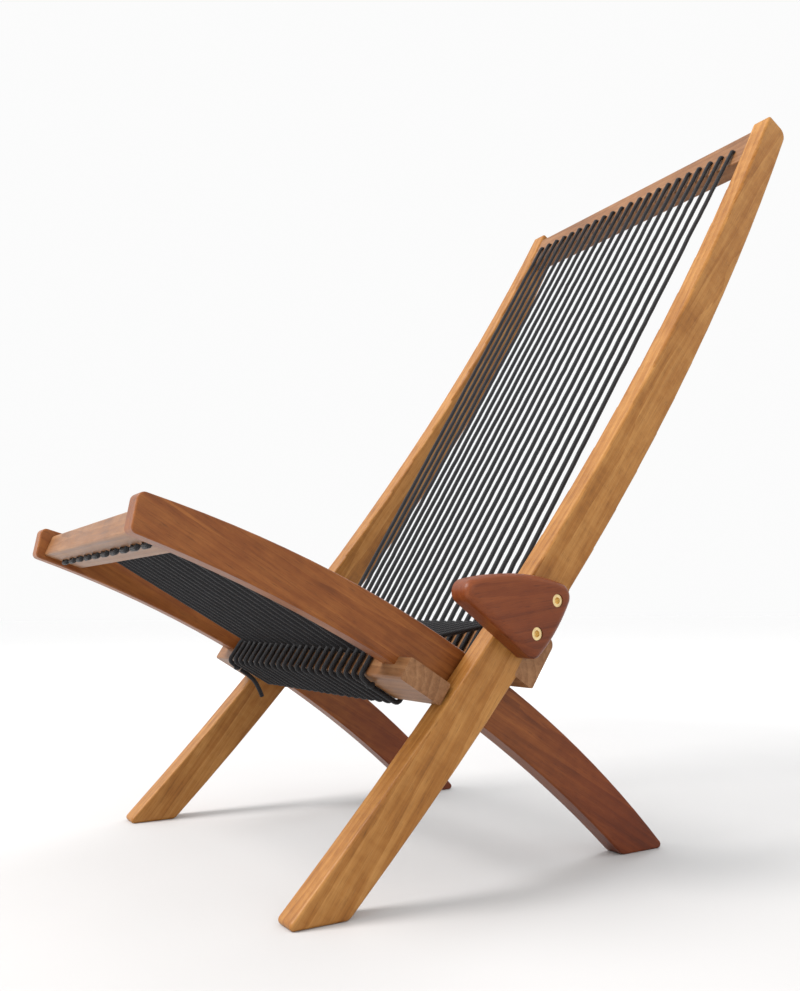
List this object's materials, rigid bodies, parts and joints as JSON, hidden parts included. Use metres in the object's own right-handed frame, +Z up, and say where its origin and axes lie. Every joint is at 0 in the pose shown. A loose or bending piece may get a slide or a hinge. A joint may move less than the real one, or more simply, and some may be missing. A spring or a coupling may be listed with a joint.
{
  "type": "folding chair",
  "caption": "Folding lounge chair of two crossing curved wooden frames, strung with one continuous braided cord that makes the seat, the back and the fold.",
  "frame": {"origin": "centre of the footprint box, on the floor", "axes": "+Z up, the sitter faces -Y, +X to the sitter's left"},
  "size_m": [0.554, 0.7938, 0.8791],
  "materials": {
    "rail_wood": "oiled",
    "seat_rail_wood": "oiled",
    "crossbar_wood": "oiled",
    "block_wood": "oiled",
    "dowel_wood": "plain",
    "brass": "satin",
    "steel": "zinc plated",
    "cord": "braided"
  },
  "bodies": {
    "back_frame": {"back_cords": "cord", "back_rail_left": "rail_wood", "back_rail_right": "rail_wood", "rear_cord_wraps": "cord", "rear_crossbar": "crossbar_wood", "rear_crossbar_screws": "steel", "side_block_bolts": "brass", "side_block_inserts": "brass", "side_block_left": "block_wood", "side_block_right": "block_wood", "top_cord_stitches": "cord", "top_crossbar": "crossbar_wood", "top_crossbar_dowels": "dowel_wood"},
    "seat_frame": {"cord_end_knots": "cord", "cord_tail": "cord", "front_cord_stitches": "cord", "front_crossbar": "crossbar_wood", "front_crossbar_dowels": "dowel_wood", "hinge_cords": "cord", "seat_cords": "cord", "seat_rail_left": "seat_rail_wood", "seat_rail_right": "seat_rail_wood", "stop_cord_wraps": "cord", "stop_crossbar": "crossbar_wood", "stop_crossbar_dowels": "dowel_wood"}
  },
  "joints": [
    {"name": "seat_fold", "type": "hinge", "parent": "back_frame", "child": "seat_frame", "pos_m": [0, -0.04891, 0.18901], "axis": [-1, 0, 0], "range_deg": [0, 90], "deforming": ["hinge_cords"]}
  ]
}
